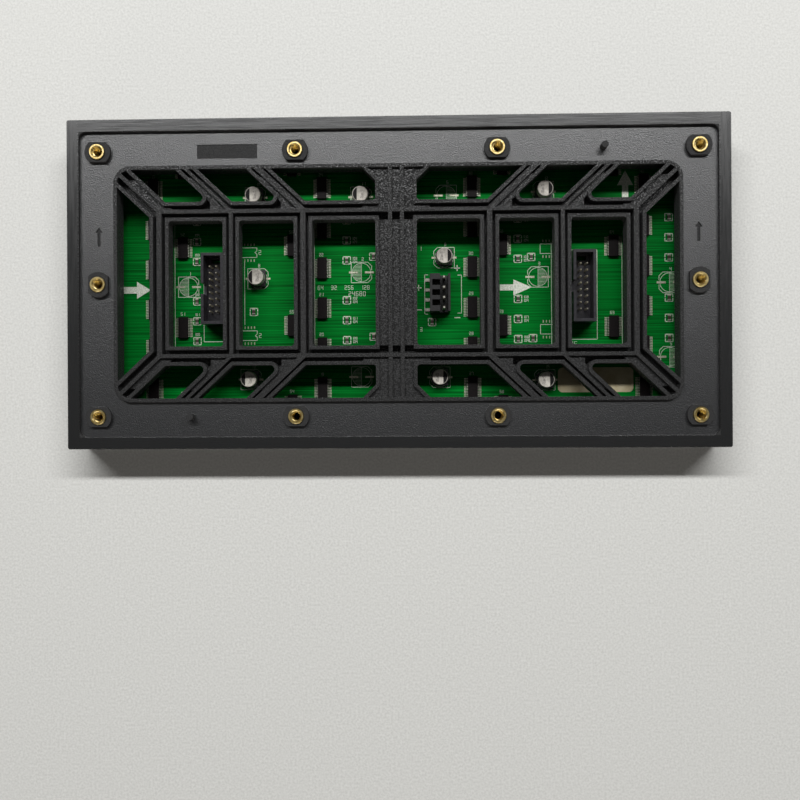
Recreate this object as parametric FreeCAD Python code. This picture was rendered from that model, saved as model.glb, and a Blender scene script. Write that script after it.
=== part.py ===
import FreeCAD
import Part
import math
import os

# An outdoor full-colour LED matrix module, 64 x 32 pixels, lying on its louvred face.
# X runs along the 64 columns, Y up the 32 rows, Z from the louvre tips to the back.
# The origin is the middle of the louvre tips' plane. All lengths are millimetres.

# Pixel grid
pitch = 4.0
columns = 64
rows = 32

# Front: LEDs, mask and louvres
led_size = 1.9
led_height = 1.5
led_gap = 0.2
louvre_height = 2.0
louvre_root = 0.65
louvre_tip = 0.4
mask_plate = 1.5
mask_inset = 0.2
potting_depth = 0.9

# Driver board
board_thickness = 1.6
board_gap = 0.2
rear_depth = 12.5

# Rear case
case_corner = 0.8
case_wall = 1.6
case_skirt = 0.6
border_width = 4.6
seat_width = 13.6
seat_drop = 1.4
seat_plate = 2.0
seat_corner = 3.0
frame_rim = 1.4
frame_depth = 7.0
frame_corner = 6.5

# Lattice inside the window frame; cells are counted in pixels from the middle
band_cells = (9, 16, 23)
band_halves = (3.6, 3.2, 3.75)
spine_widths = (2.0, 1.5, 2.0)
spine_cell = 7
spine_width = 1.5
row_band_half = 3.7
centre_half = 8.0
centre_rib = 1.5
centre_rib_place = 2.3
lattice_depth = 6.0
lattice_floor = 1.5
window_rim = 1.4
window_radius = 1.2
acute_radius = 1.7
shallow_drop = 1.2
pocket = 3.0
corner_pocket = 3.8

# Diagonal bands: run along X for each millimetre of rise, half widths along X
lean = 1.06
diagonal_halves = (4.8, 4.4, 6.1)
diagonal_widths = (2.2, 1.2, 1.5)
flare = 5.0

# Screw bosses and their brass inserts, set in from the ends and the long sides
insert_inset_x = 12.0
insert_inset_y = 12.5
insert_middle_x = 39.0
boss_diameter = 10.0
boss_flats = 7.7
boss_lift = 3.0
insert_diameter = 6.1
insert_knurls = 16
insert_bore = 3.3
insert_length = 8.0
insert_proud = 0.8

# Board screws and the posts that they go into, in cells
screw_cell = 16
post_width = 5.0
screw_length = 6.0
screw_shank = 1.8
screw_head = 2.8
screw_gap = 0.05
screw_flats = 12

# Locating pegs on the gasket seat
peg_inset = 48.2
peg_diameter = 2.6
peg_height = 3.6

# Marks moulded into the gasket seat
arrow_length = 7.5
arrow_y = 18.7
arrow_head = 2.9
arrow_shaft = 1.1
mark_depth = 0.4
patch_inset = 62.4
patch_length = 23.4
patch_width = 5.4
patch_depth = 0.2

# Driver chips: columns and rows in cells, and where the circuit sits on the board.
# Each inner column has its own rise above the outer ones.
driver_column_cells = (7.5, 24.5)
driver_row_cells = 4
inner_row_cells = 8
circuit_shift = -0.5
inner_columns = ((-21.5, 0.6), (-10.5, 1.2), (10.5, 0.7), (21.5, -0.1))
chip_length = 8.65
chip_width = 3.9
chip_height = 1.5
chip_standoff = 0.15
lead_reach = 1.05
lead_row = 7.6

# Electrolytic capacitors: (column cell, window row, clear of the window's edge)
can_diameter = 6.3
can_height = 5.4
can_base_margin = 0.3
can_base_height = 1.5
open_cans = ((-14.0, 3.6), (4.7, 11.4))
edge_cans = (
    (-14.225, 1, 1.2), (-3.6, 1, 1.0), (14.625, 1, 2.4),
    (-14.75, -1, 1.9), (4.225, -1, 1.4), (14.675, -1, 2.7),
)

# Signal headers, 2 x 8 pins at 2.54 mm, outside the second bands of ribs
header_pitch = 2.54
header_pins = 8
input_offset = 8.4
output_offset = 9.0
header_y = -1.3
header_end = 5.1
header_width = 8.8
header_height = 8.9
header_wall = 1.1
header_base = 2.4
header_pin = 0.64
header_pin_height = 7.6
header_slot_length = 3.6
header_slot_width = 1.7
header_slot_inset = 1.6
key_width = 4.4
key_floor = 4.0

# Power header, 4 pins at 3.96 mm
power_cell = 4.25
power_y = -3.5
power_pitch = 3.96
power_pins = 4
power_end = 1.4
power_width = 8.0
power_height = 8.6
power_tabs = 4.0
power_trough = 3.0
power_back = 0.9
power_pin = 1.0
power_pin_place = 1.5
power_pin_height = 9.4
power_slot = 2.3
power_slot_floor = 1.4
power_leg = 1.8
power_leg_width = 1.3
power_leg_height = 0.5

# Small chip parts on the board
small_length = 2.0
small_width = 1.25
small_height = 0.8
small_column_cells = (-20.15, -5.05, 12.05, 27.0)
small_row_cells = 2
small_steps = (-3, -2, -1, 1, 2, 3)
small_shift = 2.7
lone_small_cells = (
    (-14.425, -2.425), (-2.375, 3.025), (-2.375, -5.0),
    (3.475, -3.575), (13.375, 2.85), (13.525, -5.25),
)

# Logic under the middle ribs
decoder_size = (3.9, 9.9, 1.5)
buffer_size = (4.4, 6.5, 1.1)
buffer_y = 11.0
switch_size = (3.9, 4.9, 1.5)
switch_x = 3.7
switch_rise = 1.0

# Blank label on the board
label_cell = 19.7
label_drop = 9.75
label_length = 29.9
label_width = 9.9
label_corner = 1.9
label_thickness = 0.12

# Levels that follow from the sizes above
module_x = columns * pitch
module_y = rows * pitch
z_mask = louvre_height
z_potting = z_mask + mask_plate
z_board_front = z_potting + potting_depth
z_board = z_board_front + board_thickness
z_back = z_board + rear_depth
z_seat = z_back - seat_drop
z_seat_under = z_seat - seat_plate
z_lattice = z_back - lattice_depth
z_shallow = z_back - shallow_drop

# Half sizes of the nested outlines
seat_half_x = module_x / 2 - border_width
seat_half_y = module_y / 2 - border_width
frame_half_x = seat_half_x - seat_width
frame_half_y = seat_half_y - seat_width
field_half_x = frame_half_x - frame_rim
field_half_y = frame_half_y - frame_rim
board_half_x = module_x / 2 - case_skirt - board_gap
board_half_y = module_y / 2 - case_skirt - board_gap
spine_y = spine_cell * pitch

# Places that follow
insert_x = module_x / 2 - insert_inset_x
insert_y = module_y / 2 - insert_inset_y
peg_x = module_x / 2 - peg_inset
patch_x = patch_inset - module_x / 2
input_x = -band_cells[1] * pitch - input_offset
output_x = band_cells[1] * pitch + output_offset
power_x = power_cell * pitch

SIGNS = ((1, 1), (-1, 1), (-1, -1), (1, -1))


def point(x, y, z=0.0):
    return FreeCAD.Vector(x, y, z)


def box(x0, x1, y0, y1, z0, z1):
    """A block between two corners."""
    return Part.makeBox(x1 - x0, y1 - y0, z1 - z0, point(x0, y0, z0))


def centred_box(x, y, size_x, size_y, z0, z1):
    """A block about a point of the plan."""
    return box(x - size_x / 2, x + size_x / 2, y - size_y / 2, y + size_y / 2, z0, z1)


def cylinder(x, y, diameter, z0, z1):
    return Part.makeCylinder(diameter / 2, z1 - z0, point(x, y, z0))


def prism(points, z0, z1):
    """A straight-sided prism on a polygon of the plan."""
    corners = [point(x, y, z0) for x, y in points]
    face = Part.Face(Part.makePolygon(corners + corners[:1]))
    return face.extrude(point(0, 0, z1 - z0))


def regular_points(x, y, diameter, sides):
    """The corners of a regular polygon about a point of the plan."""
    turn = 2 * math.pi / sides
    return [(x + diameter / 2 * math.cos((step + 0.5) * turn),
             y + diameter / 2 * math.sin((step + 0.5) * turn)) for step in range(sides)]


def regular_prism(x, y, diameter, sides, z0, z1):
    return prism(regular_points(x, y, diameter, sides), z0, z1)


def rounded_prism(points, radii, z0, z1):
    """A prism whose corners are arcs, tangent to both of their sides."""
    count = len(points)
    starts = []
    arcs = []
    for index in range(count):
        here = point(*points[index], z0)
        before = (point(*points[index - 1], z0) - here).normalize()
        after = (point(*points[(index + 1) % count], z0) - here).normalize()
        half = before.getAngle(after) / 2
        reach = radii[index] / math.tan(half)
        first = here + before * reach
        last = here + after * reach
        starts.append((first, last))
        if radii[index] > 0:
            inward = (before + after).normalize()
            middle = here + inward * (radii[index] / math.sin(half) - radii[index])
            arcs.append(Part.Arc(first, middle, last).toShape())
        else:
            arcs.append(None)
    edges = []
    for index in range(count):
        if arcs[index] is not None:
            edges.append(arcs[index])
        edges.append(Part.LineSegment(starts[index][1], starts[(index + 1) % count][0]).toShape())
    face = Part.Face(Part.Wire(edges))
    return face.extrude(point(0, 0, z1 - z0))


def rectangle(half_x, half_y):
    return [(half_x, half_y), (-half_x, half_y), (-half_x, -half_y), (half_x, -half_y)]


def frame_prism(inset, z0, z1):
    """A prism inside the window frame's round outline, by an inset from its outer edge."""
    outline = rectangle(frame_half_x - inset, frame_half_y - inset)
    return rounded_prism(outline, [frame_corner - inset] * 4, z0, z1)


def grown(points, distance):
    """A convex polygon with every side moved outwards by the same distance."""
    middle_x = sum(x for x, y in points) / len(points)
    middle_y = sum(y for x, y in points) / len(points)
    lines = []
    for (x0, y0), (x1, y1) in zip(points, points[1:] + points[:1]):
        length = math.hypot(x1 - x0, y1 - y0)
        normal_x = (y1 - y0) / length
        normal_y = (x0 - x1) / length
        if (x0 - middle_x) * normal_x + (y0 - middle_y) * normal_y < 0:
            normal_x, normal_y = -normal_x, -normal_y
        lines.append((normal_x, normal_y, normal_x * x0 + normal_y * y0 + distance))
    corners = []
    for (a0, b0, c0), (a1, b1, c1) in zip(lines[-1:] + lines[:-1], lines):
        scale = a0 * b1 - a1 * b0
        corners.append(((c0 * b1 - c1 * b0) / scale, (a0 * c1 - a1 * c0) / scale))
    return corners


def flipped(points, sign_x, sign_y):
    """The same outline in another quarter of the plan."""
    turned = [(sign_x * x, sign_y * y) for x, y in points]
    return turned if sign_x == sign_y else turned[::-1]


def diagonal(band, y):
    """X of a diagonal band's middle line at a height of the plan."""
    return band_cells[band] * pitch + lean * (y - spine_y)


def group(shapes):
    return Part.makeCompound(shapes)


def quarter_windows():
    """Outlines of the three slanted windows in the quarter where X and Y are positive."""
    low = spine_y + row_band_half
    high = field_half_y
    inner = [
        (centre_half, low),
        (diagonal(0, low) - diagonal_halves[0], low),
        (diagonal(0, high) - diagonal_halves[0], high),
        (centre_half + flare, high),
        (centre_half, high - flare),
    ]
    middle = [
        (diagonal(0, low) + diagonal_halves[0], low),
        (diagonal(1, low) - diagonal_halves[1], low),
        (diagonal(1, high) - diagonal_halves[1], high),
        (diagonal(0, high) + diagonal_halves[0], high),
    ]
    outer = [
        (diagonal(1, low) + diagonal_halves[1], low),
        (diagonal(2, low) - diagonal_halves[2], low),
        (diagonal(2, high) - diagonal_halves[2], high),
        (diagonal(1, high) + diagonal_halves[1], high),
    ]
    return [inner, middle, outer]


def half_windows():
    """Outlines of the three upright windows and the end slot on the side where X is positive."""
    tall = spine_y - row_band_half
    lines = [band * pitch for band in band_cells]
    spans = [
        (centre_half, lines[0] - band_halves[0]),
        (lines[0] + band_halves[0], lines[1] - band_halves[1]),
        (lines[1] + band_halves[1], lines[2] - band_halves[2]),
    ]
    upright = [[(x1, tall), (x0, tall), (x0, -tall), (x1, -tall)] for x0, x1 in spans]
    near = lines[2] + band_halves[2]
    near_y = spine_y + (near - diagonal_halves[2] - lines[2]) / lean
    far_y = spine_y + (field_half_x - diagonal_halves[2] - lines[2]) / lean
    slot = [(field_half_x, far_y), (near, near_y), (near, -near_y), (field_half_x, -far_y)]
    return upright + [slot]


def windows():
    """All twenty window outlines."""
    outlines = []
    for outline in quarter_windows():
        outlines += [flipped(outline, sign_x, sign_y) for sign_x, sign_y in SIGNS]
    for outline in half_windows():
        outlines += [outline, flipped(outline, -1, 1)]
    return outlines


def window_radii(outline, wall=0.0):
    """Corner radii of a window: round where upright or sharp, plain elsewhere and at the frame."""
    radii = []
    for index, (x, y) in enumerate(outline):
        before = point(*outline[index - 1]) - point(x, y)
        after = point(*outline[(index + 1) % len(outline)]) - point(x, y)
        angle = math.degrees(before.getAngle(after))
        at_frame = math.isclose(abs(y), field_half_y) or math.isclose(abs(x), field_half_x)
        if at_frame or angle > 91:
            radii.append(0.0)
        elif angle > 60:
            radii.append(0.0 if wall else window_radius)
        else:
            radii.append(acute_radius + wall)
    return radii


def window_opening(outline):
    return rounded_prism(outline, window_radii(outline), z_lattice, z_back)


def window_wall(outline):
    """The rim around a window, still filled; it is opened later."""
    radii = window_radii(outline, window_rim)
    return rounded_prism(grown(outline, window_rim), radii, z_lattice, z_back)


def ribs():
    """The spines between the windows and the middle ribs of the slanted bands."""
    end_x = band_cells[2] * pitch
    shapes = []
    for side in (1, -1):
        shapes.append(centred_box(0, side * spine_y, 2 * end_x, spine_width, z_lattice, z_back))
        shapes.append(centred_box(
            side * centre_rib_place, 0, centre_rib, 2 * field_half_y, z_lattice, z_back))
        for cell, width in zip(band_cells, spine_widths):
            shapes.append(centred_box(
                side * cell * pitch, 0, width, 2 * spine_y + spine_width, z_lattice, z_back))
    for band in range(len(band_cells)):
        half = diagonal_widths[band] * math.hypot(1, lean) / 2
        low = diagonal(band, spine_y)
        high = diagonal(band, frame_half_y)
        outline = [
            (low + half, spine_y), (high + half, frame_half_y),
            (high - half, frame_half_y), (low - half, spine_y),
        ]
        for sign_x, sign_y in SIGNS:
            shapes.append(prism(flipped(outline, sign_x, sign_y), z_lattice, z_back))
    return shapes


def shallow_floors():
    """Floors just under the rib tops: the middle band up to the frame, gussets, slanted bands."""
    tall = spine_y - row_band_half
    low = spine_y + row_band_half
    shapes = [box(-centre_half, centre_half, -tall, tall, z_lattice, z_shallow)]
    for side in (1, -1):
        near, far = sorted((side * spine_y, side * field_half_y))
        shapes.append(box(-centre_half - flare, centre_half + flare, near, far, z_lattice, z_shallow))
    top = field_half_y - pocket
    outlines = []
    for band in (0, 1):
        edge = diagonal_halves[band]
        outlines.append([
            (diagonal(band, spine_y), spine_y),
            (diagonal(band, low) + edge, spine_y),
            (diagonal(band, low) + edge, low),
            (diagonal(band, top) + edge, top),
            (diagonal(band, top), top),
        ])
    top = field_half_y - corner_pocket
    edge = diagonal_halves[2]
    outlines.append([
        (diagonal(2, spine_y) - edge, spine_y), (diagonal(2, spine_y), spine_y),
        (diagonal(2, top), top), (diagonal(2, top) - edge, top),
    ])
    for outline in outlines:
        for sign_x, sign_y in SIGNS:
            shapes.append(prism(flipped(outline, sign_x, sign_y), z_lattice, z_shallow))
    return shapes


def middle_cores():
    """Hollows under the middle band's floors, open towards the board."""
    top = z_shallow - lattice_floor
    tall = spine_y - row_band_half - window_rim
    inner = centre_rib_place - centre_rib / 2
    outer = centre_rib_place + centre_rib / 2
    edge = centre_half - window_rim
    return [
        box(-inner, inner, -tall, tall, z_lattice, top),
        box(outer, edge, -tall, tall, z_lattice, top),
        box(-edge, -outer, -tall, tall, z_lattice, top),
    ]


def lattice():
    """The ribbed web that fills the window frame."""
    openings = [window_opening(outline) for outline in windows()]
    walls = [window_wall(outline) for outline in windows()]
    plate = frame_prism(frame_rim / 2, z_lattice, z_lattice + lattice_floor)
    whole = plate.fuse(walls + ribs() + shallow_floors())
    whole = whole.common(frame_prism(frame_rim / 2, z_lattice, z_back))
    return whole.cut(openings + middle_cores())


def boss_places():
    """Insert positions, each with the axis that its two flats face."""
    corners = [(sign_x * insert_x, sign_y * insert_y, "y") for sign_x, sign_y in SIGNS]
    middles = [(sign_x * insert_middle_x, sign_y * insert_y, "y") for sign_x, sign_y in SIGNS]
    return corners + middles + [(insert_x, 0.0, "x"), (-insert_x, 0.0, "x")]


def boss(x, y, facing):
    """A round boss with two flats on the seat, carried by a block under it that clears the chips."""
    size_x = boss_flats if facing == "x" else boss_diameter
    size_y = boss_flats if facing == "y" else boss_diameter
    flats = centred_box(x, y, size_x, size_y, z_seat_under, z_back)
    block = centred_box(x, y, size_x, size_y, z_board + boss_lift, z_seat_under)
    return cylinder(x, y, boss_diameter, z_seat_under, z_back).common(flats).fuse(block)


def knurled(x, y, z0, z1):
    """The knurled outside of an insert, as a prism with many flats."""
    return regular_prism(x, y, insert_diameter, insert_knurls, z0, z1)


def screw_places():
    return [(sign_x * screw_cell * pitch, sign_y * spine_y) for sign_x, sign_y in SIGNS]


def arrow_mark(x):
    """An arrow sunk into the seat, pointing up the rows."""
    tip = arrow_y + arrow_length / 2
    tail = arrow_y - arrow_length / 2
    neck = tip - arrow_head * 0.7
    outline = [
        (x, tip), (x - arrow_head / 2, neck), (x - arrow_shaft / 2, neck), (x - arrow_shaft / 2, tail),
        (x + arrow_shaft / 2, tail), (x + arrow_shaft / 2, neck), (x + arrow_head / 2, neck),
    ]
    return prism(outline, z_seat - mark_depth, z_seat + mark_depth)


def rear_case():
    """The black moulding: skirt, walls, gasket seat, bosses, posts and lattice in one piece."""
    corner = [case_corner] * 4
    body = rounded_prism(rectangle(module_x / 2, module_y / 2), corner, z_potting, z_back)
    skirt = rectangle(module_x / 2 - case_skirt, module_y / 2 - case_skirt)
    room = rectangle(module_x / 2 - case_wall, module_y / 2 - case_wall)
    seat = rounded_prism(rectangle(seat_half_x, seat_half_y), [seat_corner] * 4, z_seat, z_back)
    seat = seat.cut(frame_prism(0, z_seat, z_back))
    body = body.cut([
        prism(skirt, z_potting, z_board),
        prism(room, z_board, z_seat_under),
        seat,
        frame_prism(frame_rim, z_seat_under, z_back),
    ])
    wall_foot = z_back - frame_depth
    wall = frame_prism(0, wall_foot, z_seat).cut(frame_prism(frame_rim, wall_foot, z_seat))
    bosses = [boss(*place) for place in boss_places()]
    posts = [centred_box(x, y, post_width, post_width, z_board, z_lattice) for x, y in screw_places()]
    pegs = [cylinder(side * peg_x, side * insert_y, peg_diameter, z_seat, z_seat + peg_height)
            for side in (1, -1)]
    body = body.fuse([wall, lattice()] + bosses + posts + pegs)
    holes = [knurled(x, y, z_back - insert_length + insert_proud, z_back)
             for x, y, facing in boss_places()]
    pilot = screw_shank + 2 * screw_gap
    depth = z_board_front + screw_length + screw_gap
    holes += [regular_prism(x, y, pilot, screw_flats, z_board, depth) for x, y in screw_places()]
    marks = [arrow_mark(insert_x), arrow_mark(-insert_x)]
    patch = centred_box(patch_x, insert_y, patch_length, patch_width, z_seat - patch_depth, z_seat)
    return body.cut(holes + marks + [patch]).removeSplitter()


def threaded_inserts():
    """Ten brass inserts, pressed into the bosses and standing a little proud."""
    shapes = []
    top = z_back + insert_proud
    for x, y, facing in boss_places():
        sleeve = knurled(x, y, top - insert_length, top)
        shapes.append(sleeve.cut(cylinder(x, y, insert_bore, top - insert_length, top)))
    return group(shapes)


def countersunk(x, y, head, shank, z1):
    """A screw's form from the board's front: a head that tapers to the shank, in flats."""
    sink = (screw_head - screw_shank) / 2
    rings = []
    for diameter, z in ((head, z_board_front), (shank, z_board_front + sink)):
        corners = [point(px, py, z) for px, py in regular_points(x, y, diameter, screw_flats)]
        rings.append(Part.makePolygon(corners + corners[:1]))
    taper = Part.makeLoft(rings, True, True)
    return taper.fuse(regular_prism(x, y, shank, screw_flats, z_board_front + sink, z1)).removeSplitter()


def board_screws():
    """Countersunk screws, flush with the front of the board, into the posts."""
    tip = z_board_front + screw_length
    return group([countersunk(x, y, screw_head, screw_shank, tip) for x, y in screw_places()])


def driver_board():
    """The circuit board, with a countersunk hole for each screw."""
    plate = box(-board_half_x, board_half_x, -board_half_y, board_half_y, z_board_front, z_board)
    room = 2 * screw_gap
    return plate.cut([countersunk(x, y, screw_head + room, screw_shank + room, z_board)
                      for x, y in screw_places()])


def row_middles():
    """Y of each pixel row."""
    return [(row - (rows - 1) / 2) * pitch for row in range(rows)]


def led_rows():
    """The LEDs, one bar for each row of them."""
    half = ((columns - 1) * pitch + led_size) / 2
    return group([box(-half, half, y - led_size / 2, y + led_size / 2,
                      z_board_front - led_height, z_board_front) for y in row_middles()])


def potting_layer():
    """Silicone poured over the board's front, around the LEDs."""
    layer = box(-board_half_x, board_half_x, -board_half_y, board_half_y, z_potting, z_board_front)
    half = ((columns - 1) * pitch + led_size) / 2
    return layer.cut([box(-half, half, y - led_size / 2, y + led_size / 2, z_potting, z_board_front)
                      for y in row_middles()])


def louvred_mask():
    """The front mask: a slot for each row of LEDs, with a sun louvre above it."""
    half_x = module_x / 2 - mask_inset
    half_y = module_y / 2 - mask_inset
    open_x = ((columns - 1) * pitch + led_size) / 2 + led_gap
    open_y = led_size / 2 + led_gap
    plate = box(-half_x, half_x, -half_y, half_y, z_mask, z_potting)
    plate = plate.cut([box(-open_x, open_x, y - open_y, y + open_y, z_mask, z_potting)
                       for y in row_middles()])
    louvres = []
    for y in row_middles():
        root = y + open_y
        profile = [
            point(-half_x, root, z_mask), point(-half_x, root + louvre_root, z_mask),
            point(-half_x, root + louvre_root, 0), point(-half_x, root + louvre_root - louvre_tip, 0),
        ]
        face = Part.Face(Part.makePolygon(profile + profile[:1]))
        louvres.append(face.extrude(point(2 * half_x, 0, 0)))
    return plate.fuse(louvres).removeSplitter()


def outer_chip_places():
    """Chips beside the first and last bands, on every fourth pixel row."""
    count = rows // driver_row_cells
    heights = [(index - (count - 1) / 2) * driver_row_cells * pitch + circuit_shift
               for index in range(count)]
    return [(sign * cell * pitch, y) for cell in driver_column_cells for sign in (-1, 1) for y in heights]


def inner_chip_places():
    """Chips on the other side of the same bands, on every eighth pixel row."""
    count = rows // inner_row_cells
    heights = [(index - (count - 1) / 2) * inner_row_cells * pitch + circuit_shift for index in range(count)]
    return [(cell * pitch, y + rise) for cell, rise in inner_columns for y in heights]


def chip(x, y, size_x=chip_width, size_y=chip_length, height=chip_height):
    """A moulded chip body, just off the board."""
    return centred_box(x, y, size_x, size_y, z_board + chip_standoff, z_board + chip_standoff + height)


def chip_leads():
    """The leads of each driver chip, both rows as one strip that the body stands on."""
    reach = chip_width + 2 * lead_reach
    return group([centred_box(x, y, reach, lead_row, z_board, z_board + chip_standoff)
                  for x, y in outer_chip_places() + inner_chip_places()])


def can_places():
    """Capacitor positions: two in the open, six beside the edge of a slanted window."""
    places = [(cell * pitch, y) for cell, y in open_cans]
    half = (can_diameter + can_base_margin) / 2
    for cell, side, clear in edge_cans:
        places.append((cell * pitch, side * (spine_y + row_band_half + clear + half)))
    return places


def capacitor_cans():
    """Drawn aluminium cans on their bases."""
    low = z_board + can_base_height
    return group([cylinder(x, y, can_diameter, low, z_board + can_height) for x, y in can_places()])


def capacitor_bases():
    """Square base plates with two corners cut off at the positive end."""
    side = can_diameter + can_base_margin
    half = side / 2
    cut = side / 5
    shapes = []
    for x, y in can_places():
        outline = [
            (x + half, y + half), (x - half + cut, y + half), (x - half, y + half - cut),
            (x - half, y - half + cut), (x - half + cut, y - half), (x + half, y - half),
        ]
        shapes.append(prism(outline, z_board, z_board + can_base_height))
    return group(shapes)


def header_shroud(x):
    """A box header: four walls on a base, with the key gap in the wall towards the left."""
    length = (header_pins - 1) * header_pitch + 2 * header_end
    base = z_board + header_base
    top = z_board + header_height
    shroud = centred_box(x, header_y, header_width, length, z_board, top)
    cavity = centred_box(x, header_y, header_width - 2 * header_wall, length - 2 * header_wall, base, top)
    gap = box(x - header_width / 2, x - header_width / 2 + header_wall,
              header_y - key_width / 2, header_y + key_width / 2, z_board + key_floor, top)
    slot_y = header_y + length / 2 - header_slot_inset - header_slot_width / 2
    slot = centred_box(x, slot_y, header_slot_length, header_slot_width, z_board, base)
    return shroud.cut([cavity, gap, slot])


def header_pin_set(x):
    """Sixteen square pins that stand on the header's base."""
    span = (header_pins - 1) / 2
    shapes = []
    for column in (-1, 1):
        for row in range(header_pins):
            pin_x = x + column * header_pitch / 2
            pin_y = header_y + (row - span) * header_pitch
            shapes.append(centred_box(
                pin_x, pin_y, header_pin, header_pin, z_board + header_base, z_board + header_pin_height))
    return group(shapes)


def power_pin_places():
    span = (power_pins - 1) / 2
    return [(power_x + power_pin_place, power_y + (index - span) * power_pitch)
            for index in range(power_pins)]


def power_body():
    """The power header: slotted tabs on the left, a trough for the pins, a thin back wall."""
    length = (power_pins - 1) * power_pitch + 2 * power_end
    left = power_x - power_width / 2
    right = power_x + power_width / 2
    low = power_y - length / 2
    high = power_y + length / 2
    floor = z_board + power_trough
    top = z_board + power_height
    body = box(left, right, low, high, z_board, top)
    trough = box(left + power_tabs, right - power_back, low, high, floor, top)
    cuts = [trough]
    for index in range(power_pins - 1):
        y = power_y + (index - (power_pins - 2) / 2) * power_pitch
        cuts.append(box(left + power_back, left + power_tabs, y - power_slot / 2,
                        y + power_slot / 2, z_board + power_slot_floor, top))
    for x, y in power_pin_places():
        cuts.append(centred_box(x, y, power_pin, power_pin, z_board, floor))
        cuts.append(box(left, x, y - power_leg_width / 2, y + power_leg_width / 2,
                        z_board, z_board + power_leg_height))
    return body.cut(cuts)


def power_pin_set():
    """Four pins, each with a flat leg that comes out under the body on the left."""
    left = power_x - power_width / 2
    shapes = []
    for x, y in power_pin_places():
        pin = centred_box(x, y, power_pin, power_pin, z_board, z_board + power_pin_height)
        leg = box(left - power_leg, x, y - power_leg_width / 2, y + power_leg_width / 2,
                  z_board, z_board + power_leg_height)
        shapes.append(pin.fuse(leg).removeSplitter())
    return group(shapes)


def small_parts():
    """Chip capacitors and resistors: four columns of them, and a few alone in the windows."""
    places = [(cell * pitch, step * small_row_cells * pitch + small_shift)
              for cell in small_column_cells for step in small_steps]
    places += [(cell_x * pitch, cell_y * pitch) for cell_x, cell_y in lone_small_cells]
    return group([centred_box(x, y, small_width, small_length, z_board, z_board + small_height)
                  for x, y in places])


def label():
    """A blank paper label with round corners, stuck on the board."""
    half_x = label_length / 2
    half_y = label_width / 2
    label_y = -spine_y - label_drop
    points = [(label_cell * pitch + x, label_y + y) for x, y in rectangle(half_x, half_y)]
    return rounded_prism(points, [label_corner] * 4, z_board, z_board + label_thickness)


def switch_places():
    return [(sign_x * switch_x, sign_y * (spine_y + switch_rise)) for sign_x, sign_y in SIGNS]


def at_all(places, size):
    return group([chip(x, y, *size) for x, y in places])


def parts():
    return {
        "rear_case": rear_case(),
        "threaded_inserts": threaded_inserts(),
        "louvred_mask": louvred_mask(),
        "led_rows": led_rows(),
        "potting_layer": potting_layer(),
        "driver_board": driver_board(),
        "board_screws": board_screws(),
        "outer_driver_chips": group([chip(x, y) for x, y in outer_chip_places()]),
        "inner_driver_chips": group([chip(x, y) for x, y in inner_chip_places()]),
        "chip_leads": chip_leads(),
        "capacitor_cans": capacitor_cans(),
        "capacitor_bases": capacitor_bases(),
        "input_header_shroud": header_shroud(input_x),
        "input_header_pins": header_pin_set(input_x),
        "output_header_shroud": header_shroud(output_x),
        "output_header_pins": header_pin_set(output_x),
        "power_header_body": power_body(),
        "power_header_pins": power_pin_set(),
        "small_chip_parts": small_parts(),
        "blank_label": label(),
        "line_decoder": at_all([(0.0, 0.0)], decoder_size),
        "signal_buffers": at_all([(0.0, buffer_y), (0.0, -buffer_y)], buffer_size),
        "row_switches": at_all(switch_places(), switch_size),
    }


os.makedirs("parts", exist_ok=True)
for name, shape in parts().items():
    shape.exportStep("parts/" + name + ".step")
    print(name, len(shape.Solids), round(shape.Volume, 1), shape.isValid())
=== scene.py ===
import math

import bpy
import numpy as np
from mathutils import Matrix, Vector


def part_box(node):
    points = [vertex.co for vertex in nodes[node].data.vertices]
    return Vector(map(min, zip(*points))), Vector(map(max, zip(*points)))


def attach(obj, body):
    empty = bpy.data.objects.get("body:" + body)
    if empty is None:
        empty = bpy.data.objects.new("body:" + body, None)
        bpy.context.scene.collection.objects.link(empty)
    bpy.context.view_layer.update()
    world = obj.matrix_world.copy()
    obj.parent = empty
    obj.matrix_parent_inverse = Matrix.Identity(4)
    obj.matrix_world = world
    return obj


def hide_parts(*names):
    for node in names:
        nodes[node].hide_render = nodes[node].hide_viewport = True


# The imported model. Its frame is in metres and the module lies on its louvres at z = 0. Shapes below are
# worked out in millimetres and put into meshes in metres.
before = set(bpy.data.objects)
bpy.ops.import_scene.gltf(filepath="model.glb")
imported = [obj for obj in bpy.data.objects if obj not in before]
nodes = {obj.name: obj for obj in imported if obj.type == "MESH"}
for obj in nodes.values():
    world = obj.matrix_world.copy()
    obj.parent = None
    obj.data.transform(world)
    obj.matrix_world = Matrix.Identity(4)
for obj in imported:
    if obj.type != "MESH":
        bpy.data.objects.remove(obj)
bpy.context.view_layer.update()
MM = 0.001


# Camera
# Held by hand over the module, a little below its middle, looking almost straight down. Its place and turn
# were fitted to the corners of the case and the brass inserts in the photograph.
studio = bpy.context.scene
camera_data = bpy.data.cameras.new("camera")
camera_data.lens = 36.0
camera_data.sensor_width = 36.0
camera_data.clip_start = 0.01
camera = bpy.data.objects.new("camera", camera_data)
CAMERA_PLACE = (0.008677, -0.045580, 0.326334)
camera_right = Vector((0.99969, -0.005035, -0.024289))
camera_up = Vector((0.005045, 0.999987, 0.000340))
camera_back = camera_right.cross(camera_up).normalized()
camera.matrix_world = Matrix.Translation(CAMERA_PLACE) @ Matrix((
    (camera_right.x, camera_up.x, camera_back.x),
    (camera_right.y, camera_up.y, camera_back.y),
    (camera_right.z, camera_up.z, camera_back.z),
)).to_4x4()
studio.collection.objects.link(camera)
studio.camera = camera
studio.view_settings.view_transform = "Standard"


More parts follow.
